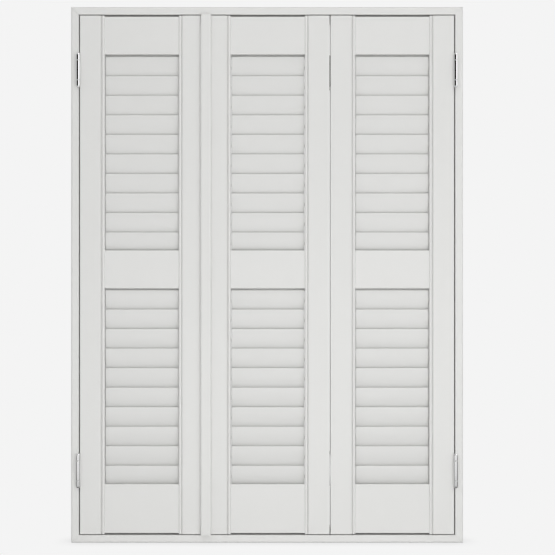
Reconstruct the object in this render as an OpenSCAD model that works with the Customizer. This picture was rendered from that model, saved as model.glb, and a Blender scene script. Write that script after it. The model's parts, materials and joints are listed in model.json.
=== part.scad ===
// Louvred window shutter: three hinged panels in a mitred frame.
// X runs to the right, the room side faces -Y and Z is up.
// The origin is mid-width on the underside of the sill, in the mid-plane of the panels.

/* [Frame] */
// Width of the frame's front face
frame_face = 16; // [12:0.5:24]
// Depth of the frame from front to back
frame_depth = 46; // [42:1:60]
// How far the light stop stands in from the frame's inner face
stop_reach = 12.5; // [8:0.5:18]
// Room between the back of a panel and the light stop
stop_gap = 1.5; // [1:0.1:3]
// Width of the joint between a frame side and its light stop
stop_joint = 0.1; // [0.05:0.05:0.2]
// Radius of the frame's outer front edge
frame_edge_r = 4; // [2:0.5:6]
// Radius of the frame's inner front edge
frame_lip_r = 1.5; // [1:0.25:3]
// Width of the open line at each mitre
mitre_gap = 0.2; // [0.1:0.05:0.4]

/* [Frame fixings] */
// Radius of a fixing hole through a jamb
fixing_r = 2.5; // [2:0.25:3.5]
// Radius of its countersink at the inner face
fixing_sink_r = 5; // [4:0.25:6.5]
// Distance of each hole from the end of the jamb
fixing_from_end = 300; // [240:5:400]

/* [Gaps] */
// Gap between the frame and a panel's long edge
side_gap = 2.2; // [2:0.1:4]
// Gap between the frame and the ends of a panel
end_gap = 2; // [1.5:0.1:4]
// Gap behind the astragal, where panels 1 and 2 meet
meeting_gap = 5; // [4.8:0.1:8]
// How far the back corner of panel 1's meeting edge is bevelled away
meeting_bevel = 2.4; // [2.2:0.1:4]
// Gap between the folding panels 2 and 3
fold_gap = 2; // [1.9:0.1:3]

/* [Stiles] */
// Width of a stile
stile_w = 50.6; // [44:0.2:64]
// Thickness of a stile
stile_t = 27; // [25.5:0.5:32]
// Radius of the bead along the inner edge
bead_r = 3; // [1.5:0.25:3.5]
// Width of the groove beside the bead
quirk_w = 1.8; // [1:0.1:3]
// Radius of a stile's outer edges
stile_edge_r = 1; // [0.5:0.25:2]

/* [Rails] */
// Height of the top rail
top_rail_h = 77.5; // [60:0.5:110]
// Height of the mid rail
mid_rail_h = 77.5; // [60:0.5:110]
// Height of the bottom rail
bottom_rail_h = 100; // [70:0.5:130]
// Thickness of the rails
rail_t = 23; // [20:0.5:25]
// How far the rails stop short of the ends of the stiles
rail_inset = 1.5; // [0.5:0.25:3]
// Radius of the rails' long edges
rail_edge_r = 1.5; // [0.5:0.25:3]
// Thickness of a rail's front lip along a bank of louvres
lip_t = 4; // [3:0.25:6]
// Depth of the groove behind that lip, above a bank
groove_deep = 6; // [4:0.5:10]
// How far the back of a rail hangs down behind a bank's first blade
rail_drop = 6; // [3:0.5:8]
// Room between that hanging part and the blade
drop_clear = 1.2; // [0.8:0.1:2]
// Length of a tenon
tenon_len = 20; // [12:1:30]
// Thickness of a tenon
tenon_t = 9; // [7:0.5:11]
// How far a tenon stays from the edges of its rail
tenon_margin = 18; // [14:1:24]
// Room round a tenon in its mortise
tenon_clear = 0.2; // [0.1:0.05:0.4]

/* [Louvres] */
// Louvres in each bank
louvre_count = 10; // [4:1:10]
// Distance from louvre to louvre
louvre_pitch = 40; // [38.5:0.25:42]
// Width of a louvre blade
louvre_w = 47; // [45:0.5:49]
// Thickness of a louvre blade at its middle
louvre_t = 8; // [7.5:0.25:9.5]
// Radius of a blade's two edges
louvre_tip_r = 1.5; // [1:0.25:2]
// Length of a louvre opening between the stiles
opening_w = 151; // [120:1:220]
// Room between a blade and the stile at each end
louvre_end_gap = 0.9; // [0.8:0.1:3]
// Lean of a closed blade from upright, top edge to the room
louvre_lean = 11; // [8:0.5:12]
// Room above the top edge of a bank's first blade
louvre_top_gap = 3; // [1.2:0.1:4]
// Radius of the pivot pin at each end of a blade
louvre_pin_r = 3; // [2.5:0.25:3.5]
// Length of the pivot pin in the stile
louvre_pin_len = 12; // [8:1:16]
// Running clearance round a pivot pin
pin_clear = 0.05; // [0.03:0.01:0.1]

/* [Tilt bars] */
// Width of a tilt bar, front to back
bar_w = 6; // [5:0.25:6.5]
// Thickness of a tilt bar
bar_t = 2.5; // [2:0.25:4]
// Length of the bar past its first and last pin
bar_end = 5; // [4:0.5:8]
// Distance of the bar's pin from the louvre's pivot, along the blade
lug_reach = 30; // [29:0.25:31]
// Distance of the bar's pin behind the blade's middle
lug_rise = 5; // [4.75:0.05:5.5]
// Thickness of the lug that carries the pin
lug_t = 3; // [2:0.25:4]
// Radius of the lug's round end
lug_r = 2.8; // [2.25:0.1:3]
// How far the lug stands behind the blade's middle where it starts
lug_root = 2.7; // [2:0.1:3.5]
// Turn of the lug's flanks where they meet its round end
lug_turn = 24; // [15:1:30]
// Radius of the bar's pin
bar_pin_r = 1.25; // [1:0.05:1.5]
// Distance of the lug from the stile
lug_from_stile = 14; // [10:1:30]
// Room between lug and bar
bar_gap = 0.3; // [0.2:0.05:0.5]
// Room round a bar's lower end in the notch of the rail
notch_clear = 3; // [2:0.5:5]

/* [Astragal] */
// Width of the strip over the meeting stiles
astragal_w = 21.4; // [18:0.2:26]
// Thickness of the strip
astragal_t = 8; // [6:0.5:11]
// Radius of the strip's front edges
astragal_r = 3.5; // [2:0.25:5]
// Room between the strip's edge and the meeting edge of panel 1
strip_clear = 0.5; // [0.4:0.1:1]
// Room behind the part of the strip that reaches past panel 2
strip_relief = 0.4; // [0.3:0.1:1]
// How far the strip stops short of the frame's inner faces
astragal_end_gap = 0.5; // [0.3:0.1:2]

/* [Hinges] */
// Distance of the upper hinges from the panel's top end
hinge_from_top = 112; // [60:1:160]
// Distance of the lower hinges from the panel's bottom end
hinge_from_bottom = 130; // [60:1:180]
// Height of a hinge leaf
leaf_h = 63.5; // [55:0.5:80]
// Thickness of a hinge leaf
leaf_t = 1.6; // [1.2:0.1:1.8]
// How far the outer leaf reaches into the gap
outer_leaf_depth = 21; // [18:0.5:24]
// Width of the outer leaf's web behind the inner leaf
leaf_web = 5; // [3:0.5:7]
// Height of the inner leaf and its knuckle
inner_leaf_h = 40; // [30:0.5:46]
// Room between the nested leaves
leaf_clear = 0.6; // [0.4:0.1:1]
// Radius of the barrel
barrel_r = 4; // [3:0.25:5]
// How far the barrel of a jamb hinge stands over the frame from the middle of the gap
barrel_shift = 1.75; // [0:0.25:2]
// Radius of the eased ends of a knuckle
knuckle_edge_r = 0.5; // [0.3:0.05:0.8]
// Room between the barrel and the faces behind it
barrel_gap = 0.3; // [0.3:0.1:1]
// Radius of the hinge pin
hinge_pin_r = 2; // [1.5:0.25:2.5]
// Height of the rounded tip at each end of the pin
tip_h = 3.8; // [2:0.2:6]
// Height of the straight collar below a tip
tip_collar = 1; // [0.6:0.2:1.6]
// How far the barrel stands out round a tip
tip_step = 0.375; // [0.2:0.025:0.6]

/* [Hidden] */
$fn = 64;
// Sides of the wide arcs of a blade, which need more of them than a small round
arc_sides = 360;
// Overlap that lets a cutter pass clean through a face
past = 1;

panel_w = opening_w + 2 * stile_w;
bank_h = louvre_count * louvre_pitch;
panel_h = 2 * rail_inset + top_rail_h + mid_rail_h + bottom_rail_h + 2 * bank_h;
frame_inner_h = panel_h + 2 * end_gap;
frame_h = frame_inner_h + 2 * frame_face;
frame_w = 2 * (frame_face + side_gap) + 3 * panel_w + meeting_gap + fold_gap;

// Faces and edges in the shared frame
panel_front = -stile_t / 2;
panel_back = stile_t / 2;
frame_front = panel_front;
stop_front = panel_back + stop_gap;
frame_back = frame_front + frame_depth;
panel_z = frame_face + end_gap;
panel_x = [
    -frame_w / 2 + frame_face + side_gap,
    -frame_w / 2 + frame_face + side_gap + panel_w + meeting_gap,
    -frame_w / 2 + frame_face + side_gap + 2 * panel_w + meeting_gap + fold_gap
];

// The meeting stiles are uneven, so that the strip closes beside panel 1 and each leaf can open by itself
meeting_shift = astragal_w / 2 - meeting_gap + strip_clear;

// Heights above the bottom end of a panel
bottom_rail_z = rail_inset;
lower_bank_z = bottom_rail_z + bottom_rail_h;
mid_rail_z = lower_bank_z + bank_h;
upper_bank_z = mid_rail_z + mid_rail_h;
top_rail_z = upper_bank_z + bank_h;
bank_z = [lower_bank_z, upper_bank_z];
rail_z = [bottom_rail_z, mid_rail_z, top_rail_z];
rail_h = [bottom_rail_h, mid_rail_h, top_rail_h];
hinge_z = [hinge_from_bottom, panel_h - hinge_from_top];

// A blade's section: two shallow arcs that run into its round edges
half_w = louvre_w / 2;
half_t = louvre_t / 2;
tip_at = half_w - louvre_tip_r;
arc_r = (tip_at * tip_at + half_t * half_t - louvre_tip_r * louvre_tip_r) / (2 * (half_t - louvre_tip_r));
arc_end = tip_at * arc_r / (arc_r - louvre_tip_r);
tip_rise = tip_at * cos(louvre_lean) + louvre_tip_r;

// Pivot heights in a bank, counted from the top, above the bank's lower edge
function pivot_z(k) = bank_h - louvre_top_gap - tip_rise - (k - 1) * louvre_pitch;
lowest_edge = tip_rise - pivot_z(louvre_count);

// Place of the bar's pin from a louvre's pivot, with the louvre closed
lug_y = lug_rise * cos(louvre_lean) + lug_reach * sin(louvre_lean);
lug_z = lug_rise * sin(louvre_lean) - lug_reach * cos(louvre_lean);
bar_low = -lug_z - pivot_z(louvre_count) + bar_end;

// Rail behind the first blade: where the blade passes the hanging part's end, and how thick it is there
drop_reach = (tip_rise + louvre_top_gap - rail_drop) / cos(louvre_lean);
drop_blade_t = half_t - drop_reach * drop_reach / (2 * arc_r);
drop_y = drop_clear + drop_blade_t / cos(louvre_lean) - drop_reach * sin(louvre_lean);

// Barrel axes
axis_off = stile_t / 2 + barrel_r + barrel_gap;
left_axis_x = panel_x[0] - side_gap / 2 - barrel_shift;
right_axis_x = panel_x[2] + panel_w + side_gap / 2 + barrel_shift;
fold_axis_x = panel_x[2] - fold_gap / 2;
leaf_start = barrel_r + barrel_gap;
outer_leaf_end = leaf_start + outer_leaf_depth;
inner_leaf_end = outer_leaf_end - leaf_web - leaf_clear;
leaf_window_h = inner_leaf_h + 2 * leaf_clear;

white = [0.93, 0.93, 0.92];
louvre_white = [0.95, 0.95, 0.94];
metal = [0.78, 0.79, 0.80];

function panel_name(p, piece) = str("panel_", p, "_", piece);
function louvre_name(p, k) = str("panel_", p, "_upper_louvre_", k < 10 ? "0" : "", k);

// What is cut from a square corner to round it, with the corner at the origin and the solid towards +X +Y
module corner_waste(r) {
    difference() {
        translate([-past, -past])
            square(r + past);
        translate([r, r])
            circle(r);
    }
}

// Frame section: x from the outer face inwards, y from front to back
module frame_section() {
    difference() {
        translate([0, frame_front])
            square([frame_face, frame_depth]);
        translate([0, frame_front])
            corner_waste(frame_edge_r);
        translate([frame_face, frame_front])
            mirror([1, 0])
                corner_waste(frame_lip_r);
    }
}

// Section of the light stop, a strip along the frame's inner face
module stop_section() {
    translate([frame_face + stop_joint, stop_front])
        square([stop_reach - stop_joint, frame_back - stop_front]);
}

// A section drawn out along one side of the frame and mitred at both ends, with its outer face at x = 0
module mitred(length) {
    reach = frame_face + stop_reach + past;
    cut = mitre_gap / 2 * sqrt(2);
    intersection() {
        linear_extrude(length)
            children();
        translate([0, frame_back + past, 0])
            rotate([90, 0, 0])
                linear_extrude(frame_depth + 2 * past)
                    polygon([
                        [-past, cut - past],
                        [reach, cut + reach],
                        [reach, length - cut - reach],
                        [-past, length - cut + past]
                    ]);
    }
}

module jamb() {
    color(white) {
        difference() {
            mitred(frame_h)
                frame_section();
            for (z = [fixing_from_end, frame_h - fixing_from_end])
                translate([-past, 0, z])
                    rotate([0, 90, 0]) {
                        cylinder(r = fixing_r, h = frame_face + 2 * past);
                        translate([0, 0, frame_face + past - fixing_sink_r + fixing_r])
                            cylinder(r1 = fixing_r, r2 = fixing_sink_r, h = fixing_sink_r - fixing_r);
                    }
        }
        mitred(frame_h)
            stop_section();
    }
}

module frame_left_jamb() {
    translate([-frame_w / 2, 0, 0])
        jamb();
}

module frame_right_jamb() {
    mirror([1, 0, 0])
        frame_left_jamb();
}

module frame_sill() {
    color(white)
        rotate([0, -90, 0])
            translate([0, 0, -frame_w / 2]) {
                mitred(frame_w)
                    frame_section();
                mitred(frame_w)
                    stop_section();
            }
}

module frame_head() {
    translate([0, 0, frame_h])
        mirror([0, 0, 1])
            frame_sill();
}

// Stile section: x from the outer edge to the beaded inner edge, y from front to back
module stile_section(width, bevel) {
    face_w = width - 2 * bead_r - quirk_w;
    core_t = stile_t - 2 * bead_r;
    difference() {
        union() {
            translate([0, -stile_t / 2])
                square([face_w, stile_t]);
            translate([0, -core_t / 2])
                square([width, core_t]);
            for (side = [-1, 1])
                translate([width - bead_r, side * core_t / 2])
                    circle(bead_r);
        }
        for (flip = [0, 1])
            mirror([0, flip])
                translate([0, -stile_t / 2])
                    corner_waste(stile_edge_r);
        if (bevel > 0)
            polygon([
                [0, -stile_t / 2],
                [bevel, stile_t / 2],
                [bevel, stile_t],
                [-past, stile_t],
                [-past, -stile_t / 2]
            ]);
    }
}

// A stile on its outer edge, with bores for the louvre pins and mortises for the rails
module stile(width, bevel) {
    bore_deep = louvre_pin_len - louvre_end_gap + past;
    mortise_deep = tenon_len + tenon_clear;
    mortise_t = tenon_t + 2 * tenon_clear;
    color(white)
        difference() {
            linear_extrude(panel_h)
                stile_section(width, bevel);
            for (z0 = bank_z)
                for (k = [1:louvre_count])
                    translate([width - bore_deep, 0, z0 + pivot_z(k)])
                        rotate([0, 90, 0])
                            cylinder(r = louvre_pin_r + pin_clear, h = bore_deep + past);
            for (r = [0:2])
                translate([width - mortise_deep, -mortise_t / 2, rail_z[r] + tenon_margin - tenon_clear])
                    cube([mortise_deep + past, mortise_t, rail_h[r] - 2 * (tenon_margin - tenon_clear)]);
        }
}

module left_stile(p) {
    extra = p == 2 ? meeting_shift : 0;
    translate([panel_x[p - 1] - extra, 0, panel_z])
        stile(stile_w + extra, 0);
}

module right_stile(p) {
    less = p == 1 ? meeting_shift : 0;
    translate([panel_x[p - 1] + panel_w - less, 0, panel_z])
        mirror([1, 0, 0])
            stile(stile_w - less, p == 1 ? meeting_bevel : 0);
}

// Rail section: x is the height from the lower edge, y runs from front to back.
// Above a bank, a groove runs behind the front lip and the back hangs down behind the first blade.
module rail_section(height, above_bank) {
    drop = above_bank ? rail_drop : 0;
    difference() {
        union() {
            translate([0, -rail_t / 2])
                square([height, rail_t]);
            if (above_bank)
                translate([-drop, drop_y])
                    square([height, rail_t / 2 - drop_y]);
        }
        if (above_bank)
            translate([-past, lip_t - rail_t / 2])
                square([groove_deep + past, drop_y + rail_t / 2 - lip_t]);
        for (corner = [[0, 0], [0, 1], [1, 0], [1, 1]])
            translate([corner.x * height - (1 - corner.x) * corner.y * drop, (corner.y - 0.5) * rail_t])
                mirror([corner.x, 0])
                    mirror([0, corner.y])
                        corner_waste(rail_edge_r);
    }
}

// A rail between its stiles, with a tenon at each end, from its lower left corner
module plain_rail(height, above_bank) {
    rotate([0, -90, 0])
        translate([0, 0, -opening_w])
            linear_extrude(opening_w)
                rail_section(height, above_bank);
    translate([-tenon_len, -tenon_t / 2, tenon_margin])
        cube([opening_w + 2 * tenon_len, tenon_t, height - 2 * tenon_margin]);
}

// A rail below a bank: its back is rebated for the last louvre's edge and notched for the tilt bar
module rebated_rail(height, above_bank, bar_left) {
    bar_x = bar_left ? lug_from_stile : opening_w - lug_from_stile;
    notch_w = 2 * (lug_t + bar_gap + bar_t + notch_clear);
    difference() {
        plain_rail(height, above_bank);
        translate([-past, lip_t - rail_t / 2, height - lowest_edge - louvre_top_gap])
            cube([opening_w + 2 * past, rail_t, rail_t]);
        translate([bar_x - notch_w / 2, lug_y - bar_w / 2 - notch_clear, height - bar_low - notch_clear])
            cube([notch_w, rail_t, bar_low + notch_clear + past]);
    }
}

function bar_on_left(p) = p < 3;

module rail(p, r) {
    color(white)
        translate([panel_x[p - 1] + stile_w, 0, panel_z + rail_z[r]])
            if (r == 2)
                plain_rail(rail_h[r], true);
            else
                rebated_rail(rail_h[r], r == 1, bar_on_left(p));
}

// Blade section: x across its thickness, y along its width
module blade_section() {
    intersection() {
        translate([half_t - arc_r, 0])
            circle(arc_r, $fn = arc_sides);
        translate([arc_r - half_t, 0])
            circle(arc_r, $fn = arc_sides);
        square([louvre_t, 2 * arc_end], center = true);
    }
    for (side = [-1, 1])
        translate([0, side * tip_at])
            circle(louvre_tip_r);
}

// Lug section behind a blade: x to the back, y up the blade
module lug_section() {
    polygon([
        [0, -tip_at / 2],
        [lug_root, -tip_at / 2],
        [lug_rise + lug_r * cos(lug_turn), lug_r * sin(lug_turn) - lug_reach],
        [lug_rise - lug_r * cos(lug_turn), -lug_r * sin(lug_turn) - lug_reach],
        [0, -tip_at]
    ]);
    translate([lug_rise, -lug_reach])
        circle(lug_r);
}

// An outline in the blade's plane section, drawn out along X
module along_x(length) {
    rotate([90, 0, 90])
        linear_extrude(length)
            children();
}

// A louvre from its left end, upright, with its pivot on the X axis
module upright_louvre(bar_left) {
    blade_len = opening_w - 2 * louvre_end_gap;
    lug_x = (bar_left ? lug_from_stile : opening_w - lug_from_stile - lug_t) - louvre_end_gap;
    pin_side = bar_left ? lug_x : lug_x + lug_t;
    pin_len = lug_t + 2 * bar_gap + bar_t + louvre_tip_r;
    along_x(blade_len)
        blade_section();
    translate([-louvre_pin_len, 0, 0])
        rotate([0, 90, 0])
            cylinder(r = louvre_pin_r, h = blade_len + 2 * louvre_pin_len);
    translate([lug_x, 0, 0])
        along_x(lug_t)
            lug_section();
    translate([pin_side, lug_rise, -lug_reach])
        rotate([0, bar_left ? 90 : -90, 0])
            cylinder(r = bar_pin_r, h = pin_len);
}

// Louvre k of a bank, closed, in its panel
module bank_louvre(p, z0, k) {
    color(louvre_white)
        translate([panel_x[p - 1] + stile_w + louvre_end_gap, 0, panel_z + z0 + pivot_z(k)])
            rotate([louvre_lean, 0, 0])
                upright_louvre(bar_on_left(p));
}

module upper_louvre(p, k) {
    bank_louvre(p, upper_bank_z, k);
}

// The bar behind a bank that tilts its louvres together
module bank_tilt_bar(p, z0) {
    lug_side = lug_from_stile + lug_t + bar_gap;
    bar_x = bar_on_left(p) ? lug_side : opening_w - lug_side - bar_t;
    low = pivot_z(louvre_count) + lug_z - bar_end;
    length = (louvre_count - 1) * louvre_pitch + 2 * bar_end;
    color(metal)
        translate([panel_x[p - 1] + stile_w + bar_x, 0, panel_z + z0])
            difference() {
                translate([0, lug_y - bar_w / 2, low])
                    cube([bar_t, bar_w, length]);
                for (k = [1:louvre_count])
                    translate([-past, lug_y, pivot_z(k) + lug_z])
                        rotate([0, 90, 0])
                            cylinder(r = bar_pin_r + pin_clear, h = bar_t + 2 * past);
            }
}

module upper_tilt_bar(p) {
    bank_tilt_bar(p, upper_bank_z);
}

// The lower bank with its bar, as one carried group
module lower_louvres(p) {
    for (k = [1:louvre_count])
        bank_louvre(p, lower_bank_z, k);
    bank_tilt_bar(p, lower_bank_z);
}

// Strip on the leading stile of panel 2, relieved where it reaches past the stile
module astragal() {
    color(white)
        translate([panel_x[1], panel_front, frame_face + astragal_end_gap])
            linear_extrude(frame_inner_h - 2 * astragal_end_gap)
                difference() {
                    translate([-astragal_w / 2, -astragal_t])
                        square([astragal_w, astragal_t]);
                    for (flip = [0, 1])
                        mirror([flip, 0])
                            translate([-astragal_w / 2, -astragal_t])
                                corner_waste(astragal_r);
                    translate([-astragal_w, -strip_relief])
                        square([astragal_w - meeting_shift, strip_relief + past]);
                }
}

// A length of the barrel with eased ends
module knuckle(low, high) {
    translate([0, 0, low])
        rotate_extrude()
            difference() {
                square([barrel_r, high - low]);
                for (end = [0, 1])
                    translate([barrel_r, end * (high - low)])
                        mirror([1, 0])
                            mirror([0, end])
                                corner_waste(knuckle_edge_r);
            }
}

// Bore for the hinge pin through a leaf of the given height
module pin_bore(height) {
    translate([0, 0, -height / 2 - past])
        cylinder(r = hinge_pin_r + pin_clear, h = height + 2 * past);
}

// Hinge about the Z axis: its leaves run to +Y in a gap with its middle at x = shift,
// the outer one on the gap's low side and the inner one on its high side
module outer_leaf(gap, shift) {
    difference() {
        union() {
            difference() {
                translate([shift - gap / 2, 0, -leaf_h / 2])
                    cube([leaf_t, outer_leaf_end, leaf_h]);
                translate([shift - gap / 2 - past, -past, -leaf_window_h / 2])
                    cube([leaf_t + 2 * past, past + outer_leaf_end - leaf_web, leaf_window_h]);
            }
            for (flip = [0, 1])
                mirror([0, 0, flip])
                    knuckle(leaf_window_h / 2, leaf_h / 2);
        }
        pin_bore(leaf_h);
    }
}

module inner_leaf(gap, shift) {
    difference() {
        union() {
            translate([shift + gap / 2 - leaf_t, 0, -inner_leaf_h / 2])
                cube([leaf_t, inner_leaf_end, inner_leaf_h]);
            knuckle(-inner_leaf_h / 2, inner_leaf_h / 2);
        }
        pin_bore(inner_leaf_h);
    }
}

// Pin with a collar and a rounded tip at each end
module hinge_pin() {
    tip_r = barrel_r - tip_step;
    for (flip = [0, 1])
        mirror([0, 0, flip])
            rotate_extrude()
                difference() {
                    union() {
                        square([hinge_pin_r, leaf_h / 2 + tip_collar]);
                        translate([0, leaf_h / 2 + pin_clear])
                            square([tip_r, tip_h]);
                    }
                    translate([tip_r, leaf_h / 2 + pin_clear + tip_h])
                        mirror([1, 0])
                            mirror([0, 1])
                                corner_waste(tip_h - tip_collar);
                }
}

module at_left_axis(z) {
    translate([left_axis_x, -axis_off, panel_z + z])
        children();
}

module at_right_axis(z) {
    translate([right_axis_x, -axis_off, panel_z + z])
        mirror([1, 0, 0])
            children();
}

// The fold hinges sit behind the panels, with the outer leaf on panel 3
module at_fold_axis(z) {
    translate([fold_axis_x, axis_off, panel_z + z])
        mirror([1, 0, 0])
            mirror([0, 1, 0])
                children();
}

module frame_hinge_leaves() {
    color(metal)
        for (z = hinge_z) {
            at_left_axis(z) {
                outer_leaf(side_gap, barrel_shift);
                hinge_pin();
            }
            at_right_axis(z) {
                outer_leaf(side_gap, barrel_shift);
                hinge_pin();
            }
        }
}

module hinge_leaves(p) {
    color(metal)
        for (z = hinge_z) {
            if (p == 1)
                at_left_axis(z)
                    inner_leaf(side_gap, barrel_shift);
            if (p == 2)
                at_fold_axis(z)
                    inner_leaf(fold_gap, 0);
            if (p == 3) {
                at_right_axis(z)
                    inner_leaf(side_gap, barrel_shift);
                at_fold_axis(z) {
                    outer_leaf(fold_gap, 0);
                    hinge_pin();
                }
            }
        }
}

frame_left_jamb();
frame_right_jamb();
frame_head();
frame_sill();
frame_hinge_leaves();
astragal();
for (p = [1:3]) {
    left_stile(p);
    right_stile(p);
    rail(p, 2);
    rail(p, 1);
    rail(p, 0);
    hinge_leaves(p);
    lower_louvres(p);
    upper_tilt_bar(p);
    for (k = [1:louvre_count])
        upper_louvre(p, k);
}
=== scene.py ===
"""Looks of a white louvred window shutter: paint, hinge metal, screws, catches, light and camera."""
import json
import math

import bmesh
import bpy
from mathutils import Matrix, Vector


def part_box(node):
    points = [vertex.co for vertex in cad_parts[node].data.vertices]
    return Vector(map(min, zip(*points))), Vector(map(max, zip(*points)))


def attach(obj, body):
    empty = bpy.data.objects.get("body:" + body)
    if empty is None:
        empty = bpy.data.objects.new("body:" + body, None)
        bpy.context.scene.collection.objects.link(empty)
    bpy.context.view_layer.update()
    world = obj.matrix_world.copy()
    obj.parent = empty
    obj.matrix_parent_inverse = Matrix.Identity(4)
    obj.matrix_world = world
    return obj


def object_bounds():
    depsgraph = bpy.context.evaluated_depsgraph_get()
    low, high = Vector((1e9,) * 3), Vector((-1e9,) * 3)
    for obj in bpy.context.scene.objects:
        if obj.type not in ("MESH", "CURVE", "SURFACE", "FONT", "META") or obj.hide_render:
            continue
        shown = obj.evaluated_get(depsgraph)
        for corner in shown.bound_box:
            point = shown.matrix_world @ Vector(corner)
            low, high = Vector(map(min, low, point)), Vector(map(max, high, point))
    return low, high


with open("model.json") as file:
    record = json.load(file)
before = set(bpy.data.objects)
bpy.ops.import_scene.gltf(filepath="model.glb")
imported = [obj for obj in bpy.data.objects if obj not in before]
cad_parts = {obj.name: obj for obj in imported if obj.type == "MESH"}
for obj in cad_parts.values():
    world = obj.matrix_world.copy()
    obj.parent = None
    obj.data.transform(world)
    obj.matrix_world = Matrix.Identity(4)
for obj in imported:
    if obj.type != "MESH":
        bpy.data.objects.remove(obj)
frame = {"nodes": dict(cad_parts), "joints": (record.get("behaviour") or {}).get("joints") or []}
cad_box = [list(corner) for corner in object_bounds()]

MM = 0.001
PANELS = (1, 2, 3)
joint_at = {joint["name"]: Vector(joint["pos_m"]) for joint in frame["joints"]}

# Sizes shared with the solids
STILE_T = 27 * MM
STOP_GAP = 1.5 * MM
SIDE_GAP = 2.2 * MM
BARREL_SHIFT = 1.75 * MM
FOLD_GAP = 2 * MM
LEAF_T = 1.6 * MM
INNER_LEAF_H = 40 * MM
FRAME_FACE = 16 * MM
FIXING_FROM_END = 300 * MM

# Photograph: width of its view at the front of the shutter, and the point that its centre looks at
IMAGE_PX = 555
MM_PER_PX = 2.04
VIEW_WIDTH = IMAGE_PX * MM_PER_PX * MM
VIEW_X = 0.0214
VIEW_Z = 0.5416
CAMERA_DISTANCE = 2.6
SENSOR = 36.0

# Tones of the studio, as linear values: what is seen, and the light from the front and from behind
BACKGROUND = (0.905, 0.905, 0.905, 1)
# Painted shade on the floor where the shutter stands on it, as the camera sees it
PAINTED_CONTACT_SHADE = (0.70, 0.70, 0.70, 1)
# Painted shade on the floor near the shutter, as metal reflects it
PAINTED_MIRROR_SHADE = (0.12, 0.12, 0.12, 1)
FLOOR_WHITE = (0.88, 0.88, 0.88, 1)
GLOW = 0.785
REAR_GLOW = 0.25
REAR_MIRROR = 0.75

# Floor in metres: half its width, reach of the painted shade at the sill, and where the painted shade
# that metal sees on it starts to clear in front of the shutter, and over what distance
FLOOR_HALF = 6
CONTACT_REACH = 0.04
MIRROR_FROM = 0.15
MIRROR_OVER = 0.75

# Studio, as stops of place and tone along one axis of a direction, from 0 to 1
GLOW_STOPS = ((0.0, GLOW), (0.38, GLOW), (0.54, REAR_GLOW))
IN_FRONT_STOPS = ((0.42, 1.0), (0.58, 0.0))
DIM_BAND_STOPS = ((0.505, 0.9), (0.52, 0.02), (0.64, 0.02), (0.70, 0.8))
LIT_STRIP_STOPS = ((0.66, 0.0), (0.73, 1.7), (0.96, 1.7), (0.985, 0.25))

# Paint and metal: colours as linear values, and roughness
WHITE = (0.72, 0.72, 0.706)
# The louvres' white is a slightly darker copy of the same paint: painted shade for blades that lie in
# shade
LOUVRE_WHITE_WITH_PAINTED_SHADE = (0.695, 0.695, 0.682)
CHROME_DULL = (0.84, 0.84, 0.85, 1)
CHROME_BRIGHT = (0.92, 0.92, 0.92, 1)
ALUMINIUM = (0.78, 0.78, 0.79)
SCREW_STEEL = (0.72, 0.72, 0.73)
CATCH_STEEL = (0.66, 0.66, 0.67)
PAINT_GLOSS = 0.36
LOUVRE_GLOSS = 0.34
CHROME_GLOSS = 0.03
BAR_GLOSS = 0.34
SCREW_GLOSS = 0.28
CATCH_GLOSS = 0.32


class Value:
    """A shader socket that takes part in plain arithmetic."""

    def __init__(self, graph, socket):
        self.graph = graph
        self.socket = socket

    def _math(self, operation, first, second):
        return self.graph.add("ShaderNodeMath", {"operation": operation}, {0: first, 1: second})

    def __add__(self, other):
        return self._math("ADD", self, other)

    __radd__ = __add__

    def __sub__(self, other):
        return self._math("SUBTRACT", self, other)

    def __rsub__(self, other):
        return self._math("SUBTRACT", other, self)

    def __mul__(self, other):
        return self._math("MULTIPLY", self, other)

    __rmul__ = __mul__

    def __truediv__(self, other):
        return self._math("DIVIDE", self, other)

    def at_most(self, other):
        return self._math("MINIMUM", self, other)

    def at_least(self, other):
        return self._math("MAXIMUM", self, other)

    def __gt__(self, other):
        return self._math("GREATER_THAN", self, other)

    def __lt__(self, other):
        return self._math("LESS_THAN", self, other)


class Graph:
    """A node tree that grows by one node at a time."""

    def __init__(self, tree):
        self.tree = tree
        tree.nodes.clear()

    def add(self, kind, settings=None, inputs=None, output=0):
        """Adds a node, applies its settings, fills its sockets and returns one output."""
        node = self.tree.nodes.new(kind)
        for name, setting in (settings or {}).items():
            if name == "stops":
                self._set_stops(node.color_ramp, setting)
            else:
                setattr(node, name, setting)
        for key, value in (inputs or {}).items():
            if isinstance(value, Value):
                self.tree.links.new(value.socket, node.inputs[key])
            else:
                node.inputs[key].default_value = value
        return Value(self, node.outputs[output]) if node.outputs else None

    @staticmethod
    def _set_stops(ramp, stops):
        while len(ramp.elements) < len(stops):
            ramp.elements.new(1)
        for element, (position, tone) in zip(ramp.elements, stops):
            element.position = position
            element.color = (tone, tone, tone, 1)


def finished(name, make_shader, *choices):
    """A material whose surface is the shader that a function adds to its graph."""
    material = bpy.data.materials.new(name)
    material.use_nodes = True
    graph = Graph(material.node_tree)
    graph.add("ShaderNodeOutputMaterial", {}, {"Surface": make_shader(graph, *choices)})
    return material


def stretched_noise(graph, scale, detail, roughness):
    """Noise on Object coordinates, stretched by a scale for each axis."""
    place = graph.add("ShaderNodeTexCoord", output="Object")
    mapped = graph.add("ShaderNodeMapping", {}, {"Vector": place, "Scale": scale})
    settings = {"Vector": mapped, "Scale": 1, "Detail": detail, "Roughness": roughness}
    return graph.add("ShaderNodeTexNoise", {}, settings, output="Fac")


def along(axis, fine, coarse):
    """A scale that is coarse along one axis and fine across it."""
    return tuple(coarse if name == axis else fine for name in "xyz")


def blend(graph, share, low, high):
    """A colour between two others."""
    return graph.add("ShaderNodeMix", {"data_type": "RGBA"}, {"Factor": share, 6: low, 7: high}, output=2)


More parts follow.
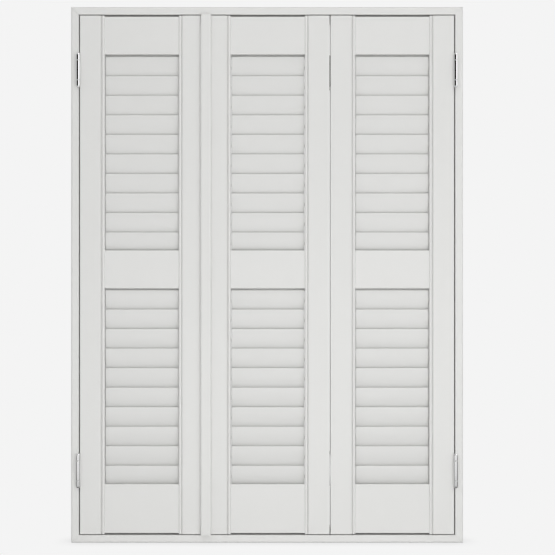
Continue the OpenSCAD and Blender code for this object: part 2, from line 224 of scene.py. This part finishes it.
def relief(graph, strength, depth, height):
    """A surface normal that follows a height."""
    return graph.add("ShaderNodeBump", {}, {"Strength": strength, "Distance": depth, "Height": height})


def opaque(colour, share):
    """A darker or equal tone of a colour, with full alpha."""
    return tuple(share * part for part in colour) + (1,)


def object_place(graph, axis):
    """One Object coordinate."""
    place = graph.add("ShaderNodeTexCoord", output="Object")
    return graph.add("ShaderNodeSeparateXYZ", {}, {"Vector": place}, output=axis)


def satin_paint(graph, tone, grain_axis, gloss):
    """White satin paint over wood: brush marks and grain run along the piece, over a fine orange peel."""
    cloud = stretched_noise(graph, (5, 5, 5), 2, 0.5)
    grain = stretched_noise(graph, along(grain_axis, 420, 7), 4, 0.6)
    brush = stretched_noise(graph, along(grain_axis, 1500, 22), 2, 0.5)
    peel = stretched_noise(graph, (900, 900, 900), 1, 0.4)
    depth = (cloud * 0.7 + grain * 0.3).at_most(1)
    height = grain * 0.45 + brush * 0.2 + peel * 0.35
    colour = blend(graph, depth, opaque(tone, 0.972), opaque(tone, 1))
    normal = relief(graph, 0.5, 0.2 * MM, height)
    return graph.add(
        "ShaderNodeBsdfPrincipled",
        {},
        {
            "Base Color": colour,
            "Roughness": gloss + (brush - 0.5) * 0.10 + (cloud - 0.5) * 0.08,
            "Normal": normal,
            "IOR": 1.45,
        },
    )


def polished_chrome(graph):
    """Bright plating with hairline scratches and a faint haze."""
    haze = stretched_noise(graph, (160, 160, 160), 3, 0.6)
    hairline = stretched_noise(graph, along("z", 5200, 160), 2, 0.5)
    colour = blend(graph, haze, CHROME_DULL, CHROME_BRIGHT)
    normal = relief(graph, 0.05, 0.02 * MM, hairline)
    return graph.add(
        "ShaderNodeBsdfPrincipled",
        {},
        {
            "Base Color": colour,
            "Metallic": 1.0,
            "Roughness": CHROME_GLOSS + haze * 0.06,
            "Normal": normal,
        },
    )


def brushed_metal(graph, tone, axis, gloss):
    """Satin metal with brush lines along one axis."""
    lines = stretched_noise(graph, along(axis, 3600, 30), 3, 0.6)
    haze = stretched_noise(graph, (60, 60, 60), 3, 0.6)
    colour = blend(graph, lines * 0.6 + haze * 0.4, opaque(tone, 0.82), opaque(tone, 1))
    normal = relief(graph, 0.12, 0.03 * MM, lines)
    return graph.add(
        "ShaderNodeBsdfPrincipled",
        {},
        {
            "Base Color": colour,
            "Metallic": 1.0,
            "Roughness": gloss + (haze - 0.5) * 0.15 + (lines - 0.5) * 0.1,
            "Normal": normal,
        },
    )


def painted_bank_with_bar(graph, panel):
    """Painted louvres, and bare metal where the bank's tilt bar runs behind them."""
    bar_low, bar_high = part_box(f"panel_{panel}_upper_tilt_bar")
    across, behind = object_place(graph, "X"), object_place(graph, "Y")
    margin = 0.1 * MM
    between = (across > bar_low.x - margin) * (across < bar_high.x + margin)
    on_bar = between * (behind > bar_low.y - margin)
    paint = satin_paint(graph, LOUVRE_WHITE_WITH_PAINTED_SHADE, "x", LOUVRE_GLOSS)
    metal = brushed_metal(graph, ALUMINIUM, "z", BAR_GLOSS)
    return graph.add("ShaderNodeMixShader", {}, {0: on_bar, 1: paint, 2: metal})


paint_upright = finished("satin_paint_upright", satin_paint, WHITE, "z", PAINT_GLOSS)
paint_level = finished("satin_paint_level", satin_paint, WHITE, "x", PAINT_GLOSS)
paint_louvre = finished("satin_paint_louvre", satin_paint, LOUVRE_WHITE_WITH_PAINTED_SHADE, "x", LOUVRE_GLOSS)
hinge_chrome = finished("hinge_chrome", polished_chrome)
bar_aluminium = finished("tilt_bar_aluminium", brushed_metal, ALUMINIUM, "z", BAR_GLOSS)
screw_steel = finished("screw_steel", brushed_metal, SCREW_STEEL, "x", SCREW_GLOSS)
catch_steel = finished("catch_steel", brushed_metal, CATCH_STEEL, "x", CATCH_GLOSS)
lower_banks = {
    f"panel_{panel}_lower_louvres": finished(f"lower_bank_{panel}", painted_bank_with_bar, panel)
    for panel in PANELS
}


def finish_of(node):
    """The finish that a node of the frame or of a panel has."""
    if node in lower_banks:
        return lower_banks[node]
    if "hinge_leaves" in node:
        return hinge_chrome
    if "tilt_bar" in node:
        return bar_aluminium
    if "louvre" in node:
        return paint_louvre
    if "rail" in node or node in ("frame_head", "frame_sill"):
        return paint_level
    return paint_upright


for node_name, node_object in frame["nodes"].items():
    node_object.data.materials.clear()
    node_object.data.materials.append(finish_of(node_name))


def link_mesh(name, mesh):
    """An object of a mesh, at the origin of the scene."""
    piece = bpy.data.objects.new(name, mesh)
    bpy.context.scene.collection.objects.link(piece)
    return piece


# Profiles of a screw head and a catch plate from the middle out, as shares of radius and height
SCREW_CROWN = 0.10
SCREW_PROFILE = ((0.55, 0.085), (0.90, 0.03), (1.0, -0.02), (0.62, -0.55))
SCREW_SEGMENTS = 20
PLATE_PROFILE = ((0.28, 0.72), (0.34, 1.0), (0.86, 1.0), (0.97, 0.85), (1.0, 0.55), (1.0, 0.0))
PLATE_SEGMENTS = 32


def ring(form, radius, height, segments):
    """A ring of points round the Z axis."""
    turns = [2 * math.pi * step / segments for step in range(segments)]
    return [form.verts.new((radius * math.cos(turn), radius * math.sin(turn), height)) for turn in turns]


def mesh_of(form, name):
    """The mesh of a form, with its faces turned outward."""
    bmesh.ops.recalc_face_normals(form, faces=form.faces)
    mesh = bpy.data.meshes.new(name)
    form.to_mesh(mesh)
    form.free()
    return mesh


def screw_template(radius):
    """A countersunk screw head, face up on the origin, with a cross recess."""
    form = bmesh.new()
    loops = [ring(form, radius * reach, radius * rise, SCREW_SEGMENTS) for reach, rise in SCREW_PROFILE]
    top = form.verts.new((0, 0, radius * SCREW_CROWN))
    low = form.verts.new((0, 0, radius * SCREW_PROFILE[-1][1]))
    for step in range(SCREW_SEGMENTS):
        after = (step + 1) % SCREW_SEGMENTS
        form.faces.new((top, loops[0][step], loops[0][after]))
        for outer, inner in zip(loops[1:], loops):
            form.faces.new((inner[step], outer[step], outer[after], inner[after]))
        form.faces.new((low, loops[-1][after], loops[-1][step]))
    head = link_mesh("screw_template", mesh_of(form, "screw_template"))
    cutter = cross_cutter(radius)
    cut = head.modifiers.new("recess", "BOOLEAN")
    cut.operation = "DIFFERENCE"
    cut.object = cutter
    graph = bpy.context.evaluated_depsgraph_get()
    cut_mesh = bpy.data.meshes.new_from_object(head.evaluated_get(graph))
    head.modifiers.clear()
    head.data = cut_mesh
    bpy.data.objects.remove(cutter)
    return head


def cross_cutter(radius):
    """The tapered cross that is sunk into a screw head."""
    arm, wide, deep = 0.55 * radius, 0.13 * radius, 0.34 * radius
    form = bmesh.new()
    outline = [
        (arm, -wide), (arm, wide), (wide, wide), (wide, arm), (-wide, arm), (-wide, wide),
        (-arm, wide), (-arm, -wide), (-wide, -wide), (-wide, -arm), (wide, -arm), (wide, -wide),
    ]
    upper = [form.verts.new((x, y, radius)) for x, y in outline]
    lower = [form.verts.new((0.6 * x, 0.6 * y, -deep)) for x, y in outline]
    form.faces.new(upper)
    form.faces.new(lower[::-1])
    for step in range(len(outline)):
        after = (step + 1) % len(outline)
        form.faces.new((upper[step], lower[step], lower[after], upper[after]))
    return link_mesh("cross_cutter", mesh_of(form, "cross_cutter"))


def plate_template(radius, height):
    """A flat disc with an eased rim and a dish in its middle, face up on the origin."""
    form = bmesh.new()
    loops = [ring(form, radius * reach, height * rise, PLATE_SEGMENTS) for reach, rise in PLATE_PROFILE]
    form.faces.new(loops[0])
    form.faces.new(loops[-1][::-1])
    for inner, outer in zip(loops, loops[1:]):
        for step in range(PLATE_SEGMENTS):
            after = (step + 1) % PLATE_SEGMENTS
            form.faces.new((inner[step], outer[step], outer[after], inner[after]))
    return link_mesh("plate_template", mesh_of(form, "plate_template"))


def fastener_tree():
    """Copies one template to every point, facing along the point's own direction."""
    tree = bpy.data.node_groups.new("fasteners_on_points", "GeometryNodeTree")
    sockets = {}
    for name, kind in (
        ("Geometry", "NodeSocketGeometry"),
        ("Template", "NodeSocketObject"),
        ("Finish", "NodeSocketMaterial"),
        ("Scale", "NodeSocketFloat"),
    ):
        sockets[name] = tree.interface.new_socket(name, in_out="INPUT", socket_type=kind).identifier
    tree.interface.new_socket("Geometry", in_out="OUTPUT", socket_type="NodeSocketGeometry")
    graph = Graph(tree)
    start = tree.nodes.new("NodeGroupInput")
    given = {socket.name: Value(graph, socket) for socket in start.outputs if socket.name}
    facing = graph.add(
        "GeometryNodeInputNamedAttribute",
        {"data_type": "FLOAT_VECTOR"},
        {"Name": "facing"},
    )
    turn = graph.add("FunctionNodeAlignRotationToVector", {"axis": "Z"}, {"Vector": facing})
    template = graph.add(
        "GeometryNodeObjectInfo",
        {"transform_space": "ORIGINAL"},
        {"Object": given["Template"]},
        output="Geometry",
    )
    copies = graph.add(
        "GeometryNodeInstanceOnPoints",
        {},
        {"Points": given["Geometry"], "Instance": template, "Rotation": turn, "Scale": given["Scale"]},
    )
    real = graph.add("GeometryNodeRealizeInstances", {}, {"Geometry": copies})
    painted = graph.add("GeometryNodeSetMaterial", {}, {"Geometry": real, "Material": given["Finish"]})
    graph.add("NodeGroupOutput", {}, {"Geometry": painted})
    return tree, sockets


fastener_nodes, fastener_sockets = fastener_tree()


def fasteners(name, body, places, template, finish, scale=1.0):
    """One mesh of equal fasteners on a body. Each place is a point and the direction that it faces."""
    mesh = bpy.data.meshes.new(name)
    mesh.from_pydata([tuple(point) for point, _ in places], [], [])
    facing = mesh.attributes.new("facing", "FLOAT_VECTOR", "POINT")
    for entry, (_, direction) in zip(facing.data, places):
        entry.vector = direction
    piece = link_mesh(name, mesh)
    nodes = piece.modifiers.new("fasteners", "NODES")
    nodes.node_group = fastener_nodes
    nodes[fastener_sockets["Template"]] = template
    nodes[fastener_sockets["Finish"]] = finish
    nodes[fastener_sockets["Scale"]] = scale
    graph = bpy.context.evaluated_depsgraph_get()
    plain = bpy.data.meshes.new_from_object(piece.evaluated_get(graph))
    piece.modifiers.clear()
    piece.data = plain
    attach(piece, body)


RIGHT, LEFT = Vector((1, 0, 0)), Vector((-1, 0, 0))
FRONT, BACK = Vector((0, -1, 0)), Vector((0, 1, 0))
SCREW_R = 2.7 * MM
FIXING_HEAD_R = 4.6 * MM
FIXING_SUNK = 0.6 * MM

# Screw places on a leaf: distance behind the barrel axis, and height from the hinge's middle
OUTER_SCREWS = ((13 * MM, 26 * MM), (13 * MM, -26 * MM), (22.4 * MM, 14 * MM), (22.4 * MM, -14 * MM))
INNER_SCREWS = ((13 * MM, 12 * MM), (13 * MM, -12 * MM))

leaf_low, leaf_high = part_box("panel_1_hinge_leaves")
HINGE_HEIGHTS = (leaf_low.z + INNER_LEAF_H / 2, leaf_high.z - INNER_LEAF_H / 2)


def leaf_screws(joint, gap, shift, outer, side, behind):
    """Screw places on one leaf of each hinge on an axis. side is the way the outer leaf's face looks."""
    axis = joint_at[joint]
    places = OUTER_SCREWS if outer else INNER_SCREWS
    facing = side if outer else -side
    face = side * shift - facing * (gap / 2 - LEAF_T)
    out = []
    for height in HINGE_HEIGHTS:
        for reach, rise in places:
            point = Vector((axis.x, axis.y, height + rise)) + face + behind * reach
            out.append((point, facing))
    return out


screw = screw_template(SCREW_R)
jamb_screws = leaf_screws("panel_1_swing", SIDE_GAP, BARREL_SHIFT, True, RIGHT, BACK)
jamb_screws += leaf_screws("panel_3_swing", SIDE_GAP, BARREL_SHIFT, True, LEFT, BACK)
fasteners("frame_hinge_screws", "frame", jamb_screws, screw, screw_steel)
single_screws = leaf_screws("panel_1_swing", SIDE_GAP, BARREL_SHIFT, False, RIGHT, BACK)
fasteners("panel_1_hinge_screws", "panel_1", single_screws, screw, screw_steel)
fold_screws = leaf_screws("panel_2_fold", FOLD_GAP, 0, False, LEFT, FRONT)
fasteners("panel_2_hinge_screws", "panel_2", fold_screws, screw, screw_steel)
pair_screws = leaf_screws("panel_3_swing", SIDE_GAP, BARREL_SHIFT, False, LEFT, BACK)
pair_screws += leaf_screws("panel_2_fold", FOLD_GAP, 0, True, LEFT, FRONT)
fasteners("panel_3_hinge_screws", "panel_3", pair_screws, screw, screw_steel)

frame_low, frame_high = Vector(cad_box[0]), Vector(cad_box[1])
fixing_screws = []
for height in (FIXING_FROM_END, frame_high.z - FIXING_FROM_END):
    fixing_screws.append((Vector((frame_low.x + FRAME_FACE - FIXING_SUNK, 0, height)), RIGHT))
    fixing_screws.append((Vector((frame_high.x - FRAME_FACE + FIXING_SUNK, 0, height)), LEFT))
fasteners(
    "frame_fixing_screws", "frame", fixing_screws, screw, screw_steel,
    scale=FIXING_HEAD_R / SCREW_R,
)

# Magnetic catches behind the meeting stiles, at the head and the sill
CATCH_R = 4.2 * MM
CATCH_FROM_EDGE = 16 * MM
CATCH_FROM_END = 5.4 * MM
STOP_FRONT = STILE_T / 2 + STOP_GAP
PLATE_T = 0.5 * MM
meeting_low, meeting_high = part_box("panel_1_right_stile")
leading_low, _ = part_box("panel_2_left_stile")
catch_heights = (meeting_low.z + CATCH_FROM_END, meeting_high.z - CATCH_FROM_END)
catch_x = {1: meeting_high.x - CATCH_FROM_EDGE, 2: leading_low.x + CATCH_FROM_EDGE}
plate = plate_template(CATCH_R, PLATE_T)
magnets = [(Vector((x, STOP_FRONT, z)), FRONT) for x in catch_x.values() for z in catch_heights]
fasteners("frame_magnets", "frame", magnets, plate, catch_steel)
for panel, x in catch_x.items():
    strikers = [(Vector((x, STILE_T / 2, z)), BACK) for z in catch_heights]
    fasteners(f"panel_{panel}_strikers", f"panel_{panel}", strikers, plate, catch_steel)

for template in (screw, plate):
    bpy.data.objects.remove(template)


def ray_kinds(graph):
    """Masks for the rays that see the studio: from the camera, off metal and through clear parts."""
    return {
        name: graph.add("ShaderNodeLightPath", output=f"Is {name} Ray")
        for name in ("Camera", "Glossy", "Transmission")
    }


def pale_floor(graph):
    """A pale floor that shows as the background, with faint painted shade where the shutter stands on it.
    """
    ray = ray_kinds(graph)
    seen = (ray["Camera"] + ray["Glossy"] + ray["Transmission"]).at_most(1)
    reach = {"Distance": CONTACT_REACH}
    # Painted shade: the shown tone darkens where the shutter hides the open sky near the sill
    open_sky = graph.add("ShaderNodeAmbientOcclusion", {"samples": 8}, reach, output="AO")
    # Painted shade in what metal reflects: the floor is dark near the shutter and clears towards the room
    to_room = object_place(graph, "Y") * -1
    clear_of_painted_shade = ((to_room - MIRROR_FROM) / MIRROR_OVER).at_least(0).at_most(1)
    seen_with_painted_shade = blend(graph, open_sky, PAINTED_CONTACT_SHADE, BACKGROUND)
    mirrored_with_painted_shade = blend(graph, clear_of_painted_shade, PAINTED_MIRROR_SHADE, BACKGROUND)
    tone = blend(graph, ray["Glossy"], seen_with_painted_shade, mirrored_with_painted_shade)
    shown = graph.add("ShaderNodeEmission", {}, {"Color": tone, "Strength": 1.0})
    lit = graph.add("ShaderNodeBsdfDiffuse", {}, {"Color": FLOOR_WHITE})
    return graph.add("ShaderNodeMixShader", {}, {0: seen, 1: lit, 2: shown})


def stage_floor():
    """A wide square floor under the sill."""
    form = bmesh.new()
    bmesh.ops.create_grid(form, x_segments=1, y_segments=1, size=FLOOR_HALF)
    mesh = bpy.data.meshes.new("floor")
    form.to_mesh(mesh)
    form.free()
    mesh.materials.append(finished("pale_floor", pale_floor))
    link_mesh("floor", mesh)


def studio_world():
    """An even glow from the front. Metal reflects a pale studio with a dim band and a lit strip in it."""
    world = bpy.data.worlds.new("studio")
    bpy.context.scene.world = world
    world.use_nodes = True
    graph = Graph(world.node_tree)
    direction = graph.add("ShaderNodeTexCoord", output="Generated")
    towards = {
        axis: graph.add("ShaderNodeSeparateXYZ", {}, {"Vector": direction}, output=axis) * 0.5 + 0.5
        for axis in "XYZ"
    }

    def tone(axis, stops):
        return graph.add("ShaderNodeValToRGB", {"stops": stops}, {"Fac": towards[axis]})

    glow = tone("Y", GLOW_STOPS)
    in_front = tone("Y", IN_FRONT_STOPS)
    dim_band = tone("Z", DIM_BAND_STOPS)
    lit_strip = tone("X", LIT_STRIP_STOPS)
    mirrored = dim_band.at_least(lit_strip) * in_front + REAR_MIRROR * (1 - in_front)
    ray = ray_kinds(graph)
    lit = graph.add("ShaderNodeBackground", {}, {"Color": glow, "Strength": 1.0})
    studio = graph.add("ShaderNodeBackground", {}, {"Color": mirrored, "Strength": 1.0})
    shown = graph.add("ShaderNodeBackground", {}, {"Color": BACKGROUND, "Strength": 1.0})
    reflected = graph.add("ShaderNodeMixShader", {}, {0: ray["Glossy"], 1: lit, 2: studio})
    pale = (ray["Camera"] + ray["Transmission"]).at_most(1)
    all_rays = graph.add("ShaderNodeMixShader", {}, {0: pale, 1: reflected, 2: shown})
    graph.add("ShaderNodeOutputWorld", {}, {"Surface": all_rays})


def soft_box(name, place, target, size, power):
    """A rectangular lamp that lights the shutter and isn't seen itself, also not in metal."""
    light = bpy.data.lights.new(name, "AREA")
    light.shape = "RECTANGLE"
    light.size, light.size_y = size
    light.energy = power
    lamp = bpy.data.objects.new(name, light)
    bpy.context.scene.collection.objects.link(lamp)
    lamp.location = place
    lamp.rotation_euler = (Vector(target) - Vector(place)).to_track_quat("-Z", "Y").to_euler()
    lamp.visible_glossy = False
    lamp.visible_camera = False


def photo_camera():
    """The photograph's level view, square on to the front of the shutter."""
    camera = bpy.data.cameras.new("camera")
    camera.sensor_width = SENSOR
    camera.lens = SENSOR * CAMERA_DISTANCE / VIEW_WIDTH
    camera.clip_end = 50
    eye = bpy.data.objects.new("camera", camera)
    bpy.context.scene.collection.objects.link(eye)
    eye.location = (VIEW_X, -STILE_T / 2 - CAMERA_DISTANCE, VIEW_Z)
    eye.rotation_euler = (math.pi / 2, 0, 0)
    bpy.context.scene.camera = eye


stage_floor()
studio_world()
middle, head = (0, 0, frame_high.z / 2), (0, 0, frame_high.z)
soft_box("key", place=(1.1, -1.6, 0.2), target=(0.3, 0, 0.5), size=(1.2, 1.2), power=9.5)
soft_box("head_fill", place=(0, -1.2, 1.9), target=head, size=(1.6, 0.5), power=4.4)
soft_box("low_fill", place=(-0.1, -1.3, 0.15), target=(0, 0, 0.05), size=(1.2, 0.4), power=3.4)
soft_box("rear_fill", place=(-0.5, 2.0, 1.3), target=middle, size=(1.6, 1.6), power=17)
photo_camera()
bpy.context.scene.view_settings.view_transform = "Standard"
